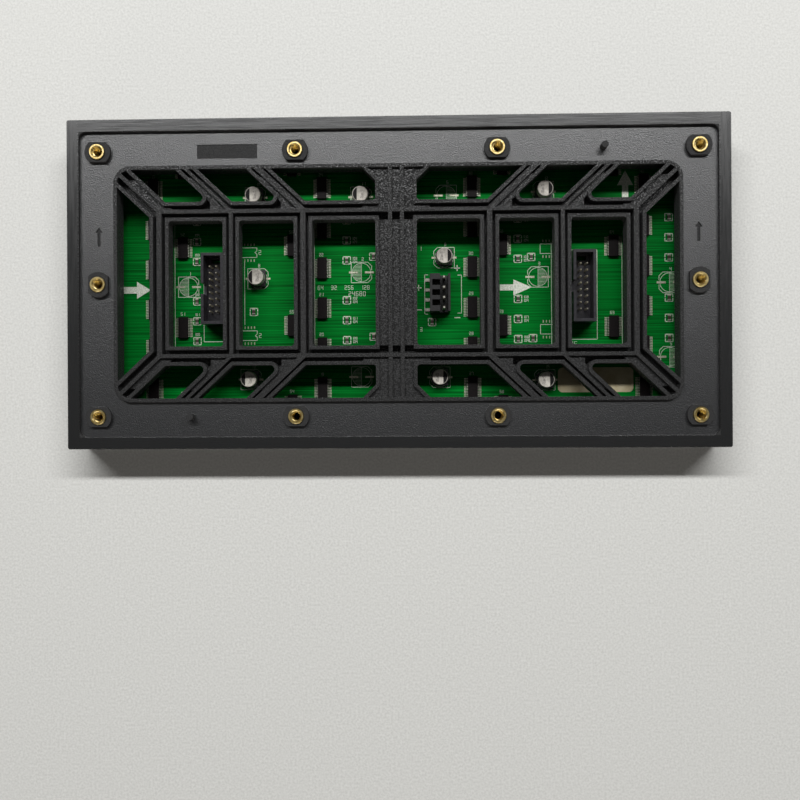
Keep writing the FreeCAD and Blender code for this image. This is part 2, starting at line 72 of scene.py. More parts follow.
# Light
# A window beyond the far long side: wide along the module and narrow across it, so that shadows are soft
# along X and crisp along Y. A low warm light from the near side lifts the shadow on the table, one below the
# table shows the louvres from underneath, and the room adds a weak fill. Past the table's edge it shows pale.
def area_light(name, place, size_x, size_y, power):
    """A rectangular lamp of some watts that faces the module's middle, its sizes in metres.

    Its first side lies along X and its second is the cross product of X and the way to the module.
    """
    data = bpy.data.lights.new(name, "AREA")
    data.shape = "RECTANGLE"
    data.size = size_x
    data.size_y = size_y
    data.energy = power
    lamp = bpy.data.objects.new(name, data)
    away = Vector(place).normalized()
    side = Vector((1.0, 0.0, 0.0))
    up = away.cross(side).normalized()
    lamp.matrix_world = Matrix.Translation(place) @ Matrix((
        (side.x, up.x, away.x), (side.y, up.y, away.y), (side.z, up.z, away.z))).to_4x4()
    studio.collection.objects.link(lamp)
    return lamp


def add_node(owner, kind, settings, links):
    """Add one node: settings name its properties or sockets, links name sockets and what feeds them."""
    node = owner.node_tree.nodes.new("ShaderNode" + kind)
    for key, value in settings.items():
        if isinstance(key, str) and hasattr(node, key):
            setattr(node, key, value)
        else:
            node.inputs[key].default_value = value
    for key, socket in links.items():
        owner.node_tree.links.new(socket, node.inputs[key])
    return node


WINDOW_ANGLE = math.radians(33.0)
WINDOW_DISTANCE = 1.6
WINDOW_PLACE = (0.0, WINDOW_DISTANCE * math.sin(WINDOW_ANGLE), WINDOW_DISTANCE * math.cos(WINDOW_ANGLE))
area_light("window_light", WINDOW_PLACE, size_x=2.4, size_y=0.11, power=34.0)
area_light("under_light", (0.0, -0.5, -1.3), size_x=1.6, size_y=0.6, power=36.0)
low_light = area_light("low_light", (0.0, -1.58, 0.28), size_x=2.4, size_y=0.24, power=8.0)
low_light.data.color = (1.0, 0.93, 0.86)

ROOM_FILL = 0.05
ROOM_SHEEN = 0.12
ROOM_SEEN = 0.62
room = bpy.data.worlds.new("room")
room.use_nodes = True
ray = add_node(room, "LightPath", {}, {})
sheen = add_node(room, "MapRange", {"To Min": ROOM_FILL, "To Max": ROOM_SHEEN},
                 {"Value": ray.outputs["Is Glossy Ray"]})
level = add_node(room, "MapRange", {"To Max": ROOM_SEEN},
                 {"Value": ray.outputs["Is Camera Ray"], "To Min": sheen.outputs["Result"]})
background = room.node_tree.nodes["Background"]
background.inputs["Color"].default_value = (1.0, 0.98, 0.95, 1.0)
room.node_tree.links.new(level.outputs["Result"], background.inputs["Strength"])
studio.world = room


# Floor
# A pale laminate table top, printed with a fine speckle and pressed with a light grain. It is one-sided, so
# that the louvres can be seen from below, and the lamp below shines through it.
def linear(hex_colour):
    """The linear colour of an sRGB hex value: a straight part near black, then a power of 2.4."""
    channels = [int(hex_colour[start:start + 2], 16) / 255 for start in (1, 3, 5)]
    return [c / 12.92 if c <= 0.04045 else ((c + 0.055) / 1.055) ** 2.4 for c in channels] + [1.0]


def new_material(name, colour, roughness, **sockets):
    """A material, with the even values set on its shader's own sockets."""
    material = bpy.data.materials.new(name)
    material.use_nodes = True
    shader = material.node_tree.nodes["Principled BSDF"]
    shader.inputs["Base Color"].default_value = linear(colour)
    shader.inputs["Roughness"].default_value = roughness
    for socket, value in sockets.items():
        shader.inputs[socket.replace("_", " ")].default_value = value
    return material


def feed(material, socket, source):
    """Join a node's output to a socket of the material's shader."""
    shader = material.node_tree.nodes["Principled BSDF"]
    material.node_tree.links.new(source, shader.inputs[socket])


def grain(material, size, stretch=(1.0, 1.0, 1.0), detail=2.0):
    """Noise with grains about size millimetres across, drawn out along each axis by stretch.

    Object coordinates are divided by the size in metres and the stretch, so one unit of noise is a grain.
    """
    place = add_node(material, "TexCoord", {}, {})
    fitted = add_node(material, "Mapping", {"Scale": [1.0 / (size * MM * factor) for factor in stretch]},
                      {"Vector": place.outputs["Object"]})
    noise = add_node(material, "TexNoise", {"Scale": 1.0, "Detail": detail},
                     {"Vector": fitted.outputs["Vector"]})
    return noise.outputs["Fac"]


MIX_FACTOR, MIX_FIRST, MIX_SECOND, MIX_RESULT = 0, 6, 7, 2


def tint(material, factor, first, second, low=0.35, high=0.65):
    """Two colours, the first where the factor is under low and the second where it is over high."""
    share = add_node(material, "MapRange", {"From Min": low, "From Max": high}, {"Value": factor})
    settings = {"data_type": "RGBA"}
    links = {MIX_FACTOR: share.outputs["Result"]}
    for socket, colour in ((MIX_FIRST, first), (MIX_SECOND, second)):
        if isinstance(colour, str):
            settings[socket] = linear(colour)
        else:
            links[socket] = colour
    return add_node(material, "Mix", settings, links).outputs[MIX_RESULT]


def relief(material, height, depth, edge=0.0):
    """Bump of a depth in millimetres, over edges that look rounded to a radius in millimetres."""
    links = {"Height": height}
    if edge:
        rounded = add_node(material, "Bevel", {"samples": 4, "Radius": edge * MM}, {})
        links["Normal"] = rounded.outputs["Normal"]
    bump = add_node(material, "Bump", {"Distance": depth * MM}, links)
    feed(material, "Normal", bump.outputs["Normal"])


# Melamine laminate: dull and almost white, with specks that are barely darker or paler than the rest.
laminate = new_material("speckled_laminate", "#dfdfda", 0.62)
speckle = tint(laminate, grain(laminate, 0.9), "#d3d3cf", "#e9e9e5", 0.3, 0.7)
feed(laminate, "Base Color", tint(laminate, grain(laminate, 9.0), speckle, "#dededa", 0.2, 1.6))
relief(laminate, grain(laminate, 0.9), 0.05)
side_met = add_node(laminate, "NewGeometry", {}, {})
ray_met = add_node(laminate, "LightPath", {}, {})
unseen = add_node(laminate, "Math", {"operation": "MAXIMUM"},
                  {0: side_met.outputs["Backfacing"], 1: ray_met.outputs["Is Shadow Ray"]})
clear = add_node(laminate, "BsdfTransparent", {}, {})
laminate_shader = laminate.node_tree.nodes["Principled BSDF"]
surface = add_node(laminate, "MixShader", {}, {0: unseen.outputs[0], 1: laminate_shader.outputs["BSDF"],
                                               2: clear.outputs["BSDF"]})
laminate.node_tree.links.new(surface.outputs["Shader"],
                             laminate.node_tree.nodes["Material Output"].inputs["Surface"])
FLOOR_HALF = 1.5
floor_corners = [(x * FLOOR_HALF, y * FLOOR_HALF, 0.0) for x, y in ((-1, -1), (1, -1), (1, 1), (-1, 1))]
floor_mesh = bpy.data.meshes.new("floor")
floor_mesh.from_pydata(floor_corners, [], [(0, 1, 2, 3)])
floor_mesh.materials.append(laminate)
floor = bpy.data.objects.new("floor", floor_mesh)
studio.collection.objects.link(floor)


# Rear case
# The black housing that the module is screwed up by, moulded in one piece. Its sunk seat has a fine satin
# grain, the rim around it is drawn out along the sides, and the rest is spark-eroded coarser.
def dress(names, material):
    """Give CAD nodes their material."""
    for name in names:
        nodes[name].data.materials.clear()
        nodes[name].data.materials.append(material)


SEAT_HALF = (123.4, 59.4)
END_RIM = 124.0
LATTICE_HALF = (109.8, 45.8)
SEAT_LEVEL = 17.1
BACK_LEVEL = 18.5
# Glass-filled polycarbonate: the seat is grey in the window's light, the rim brighter with streaks, and the
# eroded lattice nearly black with scattered glints. The real grain is some 0.1 mm and is drawn coarser.
moulding = new_material("glass_filled_black_plastic", "#232426", 0.45, IOR=1.585, Specular_IOR_Level=0.69)
place = add_node(moulding, "TexCoord", {}, {})
axes = add_node(moulding, "SeparateXYZ", {}, {0: place.outputs["Object"]})


def near(axis, middle, reach):
    """One where a coordinate in millimetres is within reach of a middle, and nought elsewhere."""
    return add_node(moulding, "Math", {"operation": "COMPARE", 1: middle * MM, 2: reach * MM},
                    {0: axes.outputs[axis]}).outputs[0]


def both(first, second):
    """One where both values are one."""
    return add_node(moulding, "Math", {"operation": "MULTIPLY"}, {0: first, 1: second}).outputs[0]


def neither(value):
    """One where the value is nought."""
    return add_node(moulding, "Math", {"operation": "SUBTRACT", 0: 1.0}, {1: value}).outputs[0]


def blend(where, outside, inside):
    """One value where the zone is nought and another where it is one."""
    return add_node(moulding, "Mix", {}, {0: where, 2: outside, 3: inside}).outputs[0]


def spread(value, low, high, start=0.3, end=0.7):
    """A noise value between start and end drawn out to reach from low to high."""
    return add_node(moulding, "MapRange", {"From Min": start, "From Max": end, "To Min": low, "To Max": high},
                    {"Value": value}).outputs[0]


in_seat = both(near("X", 0.0, SEAT_HALF[0]), near("Y", 0.0, SEAT_HALF[1]))
in_lattice = both(near("X", 0.0, LATTICE_HALF[0]), near("Y", 0.0, LATTICE_HALF[1]))
on_seat = both(near("Z", SEAT_LEVEL, 0.05), in_seat)
on_rim = both(near("Z", BACK_LEVEL, 0.1), neither(in_seat))
at_ends = neither(near("X", 0.0, END_RIM))
fine = grain(moulding, 0.4)
coarse = grain(moulding, 0.5, detail=3.0)
along = grain(moulding, 0.7, (16.0, 1.0, 1.0))
across = grain(moulding, 0.7, (1.0, 16.0, 1.0))
streaks = blend(at_ends, along, across)
seat_tone = tint(moulding, fine, "#121315", "#202123", 0.3, 0.7)
rim_tone = tint(moulding, streaks, "#0e0f10", "#191a1b", 0.3, 0.7)
coarse_tone = tint(moulding, coarse, "#040404", "#111214", 0.45, 0.6)
tone = tint(moulding, on_seat, coarse_tone, seat_tone, 0.0, 1.0)
feed(moulding, "Base Color", tint(moulding, on_rim, tone, rim_tone, 0.0, 1.0))
gloss = blend(in_lattice, spread(fine, 0.95, 0.75), spread(coarse, 1.0, 0.24, 0.49, 0.62))
gloss = blend(on_seat, gloss, spread(fine, 0.39, 0.315))
feed(moulding, "Roughness", blend(on_rim, gloss, spread(streaks, 0.31, 0.235)))
height = blend(on_seat, spread(coarse, 0.3, 0.7), spread(fine, 0.3, 0.7))
relief(moulding, blend(on_rim, height, spread(streaks, 0.47, 0.53)), 0.12, edge=0.25)
dress(["rear_case"], moulding)


# Brass sleeves
# Ten turned brass inserts, knurled outside and pressed into the bosses of the case. Each stands a little
# proud, with a chamfered ring, a countersunk mouth and a machine thread.
def loft(rings, wrap=False):
    """A skin over rings of points: point j of ring i joins to point j + 1 and to point j of ring i + 1.

    The ends are capped, or with wrap the last ring joins to the first. Returns points, the flat list
    of each face's corners, and each face's number of corners.
    """
    levels, around = rings.shape[:2]
    i = np.arange(levels if wrap else levels - 1)[:, None]
    j = np.arange(around)[None, :]
    here, above = i * around, (i + 1) % levels * around
    beyond = (j + 1) % around
    corners = np.stack([here + j, here + beyond, above + beyond, above + j], axis=-1).ravel()
    counts = np.full(corners.size // 4, 4)
    if not wrap:
        last = (levels - 1) * around
        corners = np.concatenate([corners, np.arange(around)[::-1], np.arange(last, last + around)])
        counts = np.append(counts, [around, around])
    return rings.reshape(-1, 3), corners, counts


def repeat(shape, places):
    """A shape at each place: its points moved there, its faces' corners numbered on."""
    points, corners, counts = shape
    places = np.asarray(places, dtype=float).reshape(-1, 3)
    return ((points + places[:, None]).reshape(-1, 3),
            (corners + np.arange(len(places))[:, None] * len(points)).ravel(),
            np.tile(counts, len(places)))


def make_piece(name, shapes, materials, smooth=0.0):
    """One mesh object from shapes in millimetres, each with its material.

    With smooth, faces that meet at less than that many degrees are shaded as one.
    """
    starts = np.cumsum([0] + [len(points) for points, corners, counts in shapes[:-1]])
    points = np.concatenate([shape[0] for shape in shapes]) * MM
    corners = np.concatenate([shape[1] + start for shape, start in zip(shapes, starts)])
    counts = np.concatenate([shape[2] for shape in shapes])
    mesh = bpy.data.meshes.new(name)
    mesh.vertices.add(len(points))
    mesh.vertices.foreach_set("co", points.astype(np.float32).ravel())
    mesh.loops.add(len(corners))
    mesh.loops.foreach_set("vertex_index", corners.astype(np.int32))
    mesh.polygons.add(len(counts))
    mesh.polygons.foreach_set("loop_start", (np.cumsum(counts) - counts).astype(np.int32))
    material_index = np.repeat(np.arange(len(shapes)), [len(shape[2]) for shape in shapes])
    mesh.polygons.foreach_set("material_index", material_index.astype(np.int32))
    for material in materials:
        mesh.materials.append(material)
    mesh.update(calc_edges=True)
    mesh.shade_flat()
    if smooth:
        mesh.shade_smooth()
        mesh.set_sharp_from_angle(angle=math.radians(smooth))
    piece = bpy.data.objects.new(name, mesh)
    studio.collection.objects.link(piece)
    return piece


SLEEVE_LOW, SLEEVE_HIGH = (corner.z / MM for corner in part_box("threaded_inserts"))
SLEEVE_PLACES = [(x, y, 0) for x in (-116, -39, 39, 116) for y in (-51.5, 51.5)]
SLEEVE_PLACES += [(-116, 0, 0), (116, 0, 0)]
BORE_RADIUS = 1.65
THREAD_PITCH = 0.7
THREAD_DEPTH = 0.3
AROUND = 48
COLLAR = SLEEVE_HIGH - 0.8
KNURL_HIGH, KNURL_LOW = 2.94, 2.78
turn = np.arange(AROUND) / AROUND
knurl = np.where(np.arange(AROUND) % 3 == 0, KNURL_HIGH, KNURL_LOW)
outside = [(knurl, SLEEVE_LOW + 0.1), (knurl, COLLAR - 0.1), (2.95, COLLAR), (2.95, SLEEVE_HIGH - 0.12),
           (2.83, SLEEVE_HIGH), (2.3, SLEEVE_HIGH), (1.95, SLEEVE_HIGH - 0.3), (1.8, SLEEVE_HIGH - 0.75)]
# The thread is a ring at every quarter of its pitch, whose radius falls and rises once for each turn.
thread_z = np.arange(COLLAR, SLEEVE_LOW, -THREAD_PITCH / 4)
flank = np.abs((thread_z[:, None] / THREAD_PITCH - turn) % 1.0 - 0.5) * 2.0
radius = np.concatenate([[np.broadcast_to(r, AROUND) for r, z in outside],
                         BORE_RADIUS + THREAD_DEPTH / 2 - THREAD_DEPTH * flank,
                         [np.full(AROUND, BORE_RADIUS + 0.3)]])
height = np.concatenate([[z for r, z in outside], thread_z, [SLEEVE_LOW]])
sleeve = np.stack([radius * np.cos(turn * math.tau), radius * np.sin(turn * math.tau),
                   np.broadcast_to(height[:, None], radius.shape)], axis=-1)
# Turned brass: rings with a yellow shine, a little dulled, and tool marks around them.
brass = new_material("turned_brass", "#d3ba7a", 0.32, Metallic=1.0)
feed(brass, "Base Color", tint(brass, grain(brass, 1.2), "#c4a964", "#e4d29a"))
relief(brass, grain(brass, 0.3, (1.0, 1.0, 0.2)), 0.01)
sleeves = make_piece("brass_sleeves", [repeat(loft(sleeve, wrap=True), SLEEVE_PLACES)], [brass], smooth=28.0)
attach(sleeves, "root")
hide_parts("threaded_inserts")


# Driver board
# Glass-fibre laminate with copper on both faces, held by four screws to the posts of the case. The traces
# run along the pixel rows.
# Green solder mask: dull, deep green, with the traces showing through it as lighter and darker lines. The
# real lines are some 0.2 mm wide and are drawn 0.55 mm.
BOARD_TOP = 6.0
solder_mask = new_material("green_solder_mask", "#006923", 0.5, Specular_IOR_Level=0.03)
traces = grain(solder_mask, 1.0, (60.0, 0.55, 1.0), 3.0)
ground = tint(solder_mask, traces, "#004a15", "#00802b", 0.36, 0.64)
patches = grain(solder_mask, 16.0, (1.6, 0.7, 1.0), 1.0)
feed(solder_mask, "Base Color", tint(solder_mask, patches, ground, "#007224", 0.45, 0.95))
relief(solder_mask, traces, 0.02)
dress(["driver_board"], solder_mask)


# Print on the board
# Outlines of parts, plain numbers beside them, signs at the supply's terminals and three arrows, all screened
# on to the mask in one pass of ink.
def bars(lines, width, low, high):
    """Flat bars along lines of x0, y0, x1, y1, each run on by half its width at both ends."""
    lines = np.asarray(lines, dtype=float).reshape(-1, 4)
    start, end = lines[:, :2], lines[:, 2:]
    along = (end - start) / np.linalg.norm(end - start, axis=1, keepdims=True) * width / 2
    across = along[:, ::-1] * (-1.0, 1.0)
    plan = np.stack([start - along - across, end + along - across,
                     end + along + across, start - along + across], axis=1)
    points = np.zeros((len(lines), 2, 4, 3))
    points[..., :2] = plan[:, None]
    points[:, 0, :, 2] = low
    points[:, 1, :, 2] = high
    eight, corners, counts = loft(points[0])
    return (points.reshape(-1, 3), (corners + np.arange(len(lines))[:, None] * len(eight)).ravel(),
            np.tile(counts, len(lines)))


def plate(outline, low, high):
    """A flat plate with an outline of x, y, counted anticlockwise."""
    rings = np.zeros((2, len(outline), 3))
    rings[..., :2] = np.asarray(outline, dtype=float)
    rings[0, :, 2] = low
    rings[1, :, 2] = high
    return loft(rings)


def joined(points, closed=False):
    """Lines of x0, y0, x1, y1 from each point to the next."""
    points = np.asarray(points, dtype=float)
    if closed:
        points = np.concatenate([points, points[:1]])
    return np.concatenate([points[:-1], points[1:]], axis=1)


def circle(x, y, radius, start=0.0, end=360.0, steps=28):
    """Points on an arc, the radius times cosine and sine, from one angle in degrees to another."""
    angles = np.radians(np.linspace(start, end, steps + 1))
    return np.stack([x + radius * np.cos(angles), y + radius * np.sin(angles)], axis=1)


# The seven strokes of a figure one unit high, and for each figure from 0 to 9 one bit for each stroke.
FIGURE_BARS = np.array([(0, 2, 1, 2), (1, 1, 1, 2), (1, 0, 1, 1), (0, 0, 1, 0),
                        (0, 0, 0, 1), (0, 1, 0, 2), (0, 1, 1, 1)]) / 2
FIGURES = (0x3F, 0x06, 0x5B, 0x4F, 0x66, 0x6D, 0x7D, 0x07, 0x7F, 0x6F)
FIGURE_STEP = 0.85


def number(value, x, y, height):
    """A plain number in straight strokes, seven to a figure, its lower left corner at x, y."""
    lines = []
    for place, figure in enumerate(str(value)):
        used = (FIGURES[int(figure)] >> np.arange(7)) & 1
        lines.append(FIGURE_BARS[used == 1] * height + [place * height * FIGURE_STEP, 0.0] * 2)
    return np.concatenate(lines) + (x, y, x, y)


INK_LOW, INK_HIGH = BOARD_TOP, BOARD_TOP + 0.02
INK_WIDTH, FIGURE_WIDTH, HATCH_WIDTH, BOLD_WIDTH = 0.2, 0.17, 0.13, 0.34
CHIP_COLUMNS = (-98.0, -30.0, 30.0, 98.0)
INNER_COLUMNS = ((-86.0, -47.9), (-42.0, -47.3), (42.0, -47.8), (86.0, -48.6))
CHIP_STEP, FIRST_CHIP = 16.0, -56.5
outer_chips = [(x, CHIP_STEP * step + FIRST_CHIP, 0) for x in CHIP_COLUMNS for step in range(8)]
inner_chips = [(x, 2 * CHIP_STEP * step + first, 0) for x, first in INNER_COLUMNS for step in range(4)]
# Each capacitor's place in X and Y, and 1 or -1 where its negative side faces +X or -X.
EMPTY_CANS = ((-84.1, 0.5, -1), (-14.3, 5.8, -1), (56.2, 3.4, 1), (108.2, 0.8, 1), (108.2, -28.8, 1),
              (19.8, 36.3, 1), (-14.4, -36.1, -1))
CANS = ((-56.0, 3.6, -1), (18.8, 11.4, 1), (-56.9, 36.2, -1), (-14.4, 36.0, -1), (58.5, 37.4, 1),
        (-59.0, -36.9, -1), (16.9, -36.4, 1), (58.7, -37.7, 1))
CAN_FRAME, CAN_FRAME_CUT, CAN_RING = 4.1, 1.5, 3.75
RUNG_STEP = 0.54


def can_outline(x, y, side):
    """Print around a capacitor's place: a square with two corners cut on one side, and a circle."""
    reach, cut = CAN_FRAME, CAN_FRAME_CUT
    square = [(x - side * reach, y - reach), (x - side * reach, y + reach),
              (x + side * (reach - cut), y + reach), (x + side * reach, y + reach - cut),
              (x + side * reach, y + 1.0)]
    lower = [(x + side * reach, y - 1.0), (x + side * reach, y - reach + cut),
             (x + side * (reach - cut), y - reach), (x - side * reach, y - reach)]
    return np.concatenate([joined(square), joined(lower), joined(circle(x, y, CAN_RING))])


def hatching(x, y, side):
    """Rungs that fill one half of a capacitor's circle, and their upright.

    At each height a rung is as long as the root of the squared radius less the squared height.
    """
    rise = np.arange(-3.5, 3.6, RUNG_STEP)
    reach = np.sqrt(CAN_RING ** 2 - rise ** 2)
    rungs = np.stack([np.full(len(rise), x), y + rise, x + side * reach, y + rise], axis=1)
    return np.concatenate([rungs, [(x, y - CAN_FRAME, x, y + CAN_FRAME)]])


def chip_outline(x0, x1, y0, y1, notch):
    """Print for an empty chip place: a box that is cut in at its right end by the notch."""
    middle = (y0 + y1) / 2
    return joined([(x1, y1), (x0, y1), (x0, y0), (x1, y0), (x1, middle - 0.7),
                   (x1 - notch, middle), (x1, middle + 0.7), (x1, y1)])


ink_lines = [can_outline(x, y, -side) for x, y, side in EMPTY_CANS + CANS]
hatch_lines = [hatching(x, y, side) for x, y, side in EMPTY_CANS]
CHIP_FRAMES = ((-62.8, -56.4, 12.2, 16.1, 0.8), (-62.8, -56.4, -21.2, -17.3, 0.8),
               (57.1, 63.0, 12.7, 16.5, 0.0), (57.1, 63.0, -19.4, -15.6, 0.0))
ink_lines += [chip_outline(*frame_edges) for frame_edges in CHIP_FRAMES]
UPRIGHT_LINES = ((-89.6, 27.0, -24.0), (-61.4, 10.4, -14.9), (-33.2, 26.6, -24.4), (61.5, 17.0, -23.6),
                 (89.5, 17.0, -23.6), (-97.1, -35.3, -44.0))
ink_lines += [joined([(x, top), (x, bottom)]) for x, top, bottom in UPRIGHT_LINES]
ink_lines += [joined([(-97.1, -35.3), (-91.8, -31.7)])]
HEADER_FRAMES = ((-77.9, -66.9, 14.0, -21.6), (67.5, 79.6, 14.0, -21.6))
for left, right, top, bottom in HEADER_FRAMES:
    ink_lines += [joined([(left, top), (right, top), (right, bottom), (left, bottom)], closed=True)]
ink_lines += [joined([(24.2, 4.4), (25.7, 4.4), (25.7, -10.8), (24.2, -10.8)]),
              joined([(12.2, 4.6), (11.0, 4.6), (11.0, -11.1), (12.2, -11.1)])]
OUTER_CHIPS_FROM, INNER_CHIPS_FROM = 10, 50
fine_lines = [number(OUTER_CHIPS_FROM + index, x - 1.2, y + 5.0, 1.1)
              for index, (x, y, z) in enumerate(outer_chips)]
fine_lines += [number(INNER_CHIPS_FROM + index, x - 1.2, y + 5.0, 1.1)
               for index, (x, y, z) in enumerate(inner_chips)]
fine_lines += [number(index + 1, x + 0.2, y + 4.7, 1.2)
               for index, (x, y, side) in enumerate(EMPTY_CANS + CANS)]
LONE_NUMBERS = ((2, -55.6, 13.4, 1.6), (2, -55.6, -20.0, 1.6), (64, -31.8, -1.0, 1.5), (32, -26.4, -1.0, 1.5),
                (256, -21.0, -1.0, 1.5), (128, -14.5, -1.0, 1.5), (4, -8.4, -1.0, 1.5),
                (24680, -19.4, -3.6, 1.7), (16, -65.7, -23.6, 1.9), (16, 68.9, -24.4, 1.9),
                (1, 9.0, 14.4, 1.4), (3, 9.2, -17.9, 1.4))
fine_lines += [number(*figures_at) for figures_at in LONE_NUMBERS]
SIGN_REACH = 1.0
PLUS_SIGNS = ((24.0, 7.2), (8.6, -0.6))
MINUS_SIGNS = ((24.0, -12.6), (8.6, -9.4))
bold_lines = [joined([(x - SIGN_REACH, y), (x + SIGN_REACH, y)]) for x, y in PLUS_SIGNS + MINUS_SIGNS]
bold_lines += [joined([(x, y - SIGN_REACH), (x, y + SIGN_REACH)]) for x, y in PLUS_SIGNS]


def arrow(x, y, tail, shaft, head, wide, upright=False):
    """A printed arrow whose head starts at x, y: lengths of tail and head, widths of shaft and head."""
    outline = np.array([(-tail, -shaft / 2), (0, -shaft / 2), (0, -wide / 2), (head, 0),
                        (0, wide / 2), (0, shaft / 2), (-tail, shaft / 2)])
    if upright:
        outline = outline[:, ::-1] * (-1.0, 1.0)
    return plate(outline + (x, y), INK_LOW, INK_HIGH)


arrows = [arrow(-105.1, -0.6, 8.0, 2.7, 5.6, 6.9), arrow(46.4, -0.7, 5.4, 2.4, 7.2, 6.3),
          arrow(90.9, 39.6, 7.0, 2.5, 6.0, 6.3, upright=True)]
# White epoxy ink: a warm white that the mask's green shows through a little where the coat is thin.
ink = new_material("white_screen_ink", "#d9dccf", 0.55)
feed(ink, "Base Color", tint(ink, grain(ink, 0.6), "#b9c3b0", "#e4e6da"))
relief(ink, grain(ink, 0.4), 0.01)
print_shapes = [bars(np.concatenate(lines), width, INK_LOW, INK_HIGH)
                for lines, width in ((ink_lines, INK_WIDTH), (fine_lines, FIGURE_WIDTH),
                                     (hatch_lines, HATCH_WIDTH), (bold_lines, BOLD_WIDTH))] + arrows
board_print = make_piece("board_print", print_shapes, [ink] * len(print_shapes))
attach(board_print, "root")


# Driver chips
# Forty-eight constant-current drivers in narrow packages, moulded with a draft on all four sides and a round
# pip at the first lead, and soldered to the board by their leads.
def square_rings(levels):
    """Rings of four corners for loft, one for each half width, half length and height."""
    levels = np.asarray(levels, dtype=float)
    signs = np.array([(-1, -1), (1, -1), (1, 1), (-1, 1)])
    rings = np.empty((len(levels), 4, 3))
    rings[..., :2] = signs * levels[:, None, :2]
    rings[..., 2] = levels[:, 2:]
    return rings


def round_rings(levels, around=32):
    """Rings about the Z axis for loft, one for each radius and height."""
    levels = np.asarray(levels, dtype=float)
    angles = np.arange(around) / around * math.tau
    radius, height = levels[:, :1], np.broadcast_to(levels[:, 1:], (len(levels), around))
    return np.stack([radius * np.cos(angles), radius * np.sin(angles), height], axis=-1)


# Moulded epoxy: a warm black that hardly shines, with softly rounded edges.
epoxy = new_material("black_moulded_epoxy", "#0f0b0b", 0.6, Specular_IOR_Level=0.12)
feed(epoxy, "Base Color", tint(epoxy, grain(epoxy, 0.5), "#0a0808", "#161011"))
relief(epoxy, grain(epoxy, 0.2), 0.012, edge=0.1)
CHIP_LEVELS = ((1.8, 4.18, 6.15), (1.95, 4.32, 6.85), (1.95, 4.32, 7.0), (1.82, 4.2, 7.64))
PIP_LEVELS = ((0.34, 7.6), (0.34, 7.65))
PIP_PLACE = (-1.15, 3.45, 0.0)
chip_body = loft(square_rings(CHIP_LEVELS))
pip = loft(round_rings(PIP_LEVELS, 16) + PIP_PLACE)
driver_chips = make_piece("driver_chip_bodies", [repeat(chip_body, outer_chips + inner_chips),
                                                 repeat(pip, outer_chips + inner_chips)], [epoxy, epoxy])
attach(driver_chips, "root")
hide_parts("outer_driver_chips", "inner_driver_chips")


# Chip leads
# Twelve gull-wing leads on each long side of a chip, stamped and formed from copper strip, tinned, and
# soldered down at their feet.
LEADS = 12
LEAD_PITCH = 0.635
LEAD_WIDTH = 0.3
LEAD_SIDE = np.array([(1.7, 6.86), (2.2, 6.86), (2.42, 6.04), (3.0, 6.03), (3.0, 6.17), (2.54, 6.18),
                      (2.32, 7.0), (1.7, 7.0)])
lead_points = np.empty((2, len(LEAD_SIDE), 3))
lead_points[..., 0] = LEAD_SIDE[:, 0]
lead_points[..., 2] = LEAD_SIDE[:, 1]
lead_points[0, :, 1] = LEAD_WIDTH / 2
lead_points[1, :, 1] = -LEAD_WIDTH / 2
right_lead = loft(lead_points)
left_lead = loft(lead_points[::-1] * (-1.0, 1.0, 1.0))
lead_rows = [(0.0, (index - (LEADS - 1) / 2) * LEAD_PITCH, 0.0) for index in range(LEADS)]
# Tinned copper: a dull warm silver, mottled where the tin has run.
tinned = new_material("tinned_copper", "#a9a79c", 0.45, Metallic=0.6)
feed(tinned, "Base Color", tint(tinned, grain(tinned, 0.5), "#8f8d83", "#bfbdb2"))
relief(tinned, grain(tinned, 0.25), 0.015)
all_chips = outer_chips + inner_chips
leads = make_piece("gull_wing_leads", [repeat(repeat(right_lead, lead_rows), all_chips),
                                       repeat(repeat(left_lead, lead_rows), all_chips)], [tinned, tinned])
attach(leads, "root")
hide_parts("chip_leads")


# Solder pads
# Tinned pads on the board: one under each chip lead, a pair at each capacitor, and bare ones at the empty
# chip places.
pad = loft(square_rings([(0.5, 0.2, BOARD_TOP), (0.45, 0.17, BOARD_TOP + 0.03)]))
wide_pad = loft(square_rings([(1.8, 0.42, BOARD_TOP), (1.6, 0.34, BOARD_TOP + 0.07)]))
tick = loft(square_rings([(0.2, 0.5, BOARD_TOP), (0.17, 0.47, BOARD_TOP + 0.02)]))
LEAD_PAD_OUT, CAN_PAD_OUT = 2.95, 3.2
TICK_PITCH = 1.27
lead_pads = [(x + side * LEAD_PAD_OUT, y + row, 0) for x, y, z in all_chips for side in (-1, 1)
             for zero, row, level in lead_rows]
can_pads = [(x + end * CAN_PAD_OUT, y, 0) for x, y, side in EMPTY_CANS + CANS for end in (-1, 1)]
tick_rows = [(-61.3, y) for y in (17.35, 10.95, -16.05, -22.45)]
tick_rows += [(58.2, y) for y in (17.75, 11.45, -14.35, -20.65)]
ticks = [(x + TICK_PITCH * step, y, 0) for x, y in tick_rows for step in range(4)]
# Solder: a pale, slightly yellow silver with soft lumps where it has set.
solder = new_material("bright_solder", "#b9b8a4", 0.42, Metallic=0.5)
feed(solder, "Base Color", tint(solder, grain(solder, 0.5), "#9c9b88", "#cfcdb8"))
relief(solder, grain(solder, 0.5), 0.02)
pads = make_piece("solder_pads", [repeat(pad, lead_pads), repeat(wide_pad, can_pads), repeat(tick, ticks)],
                  [solder, solder, solder])
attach(pads, "root")


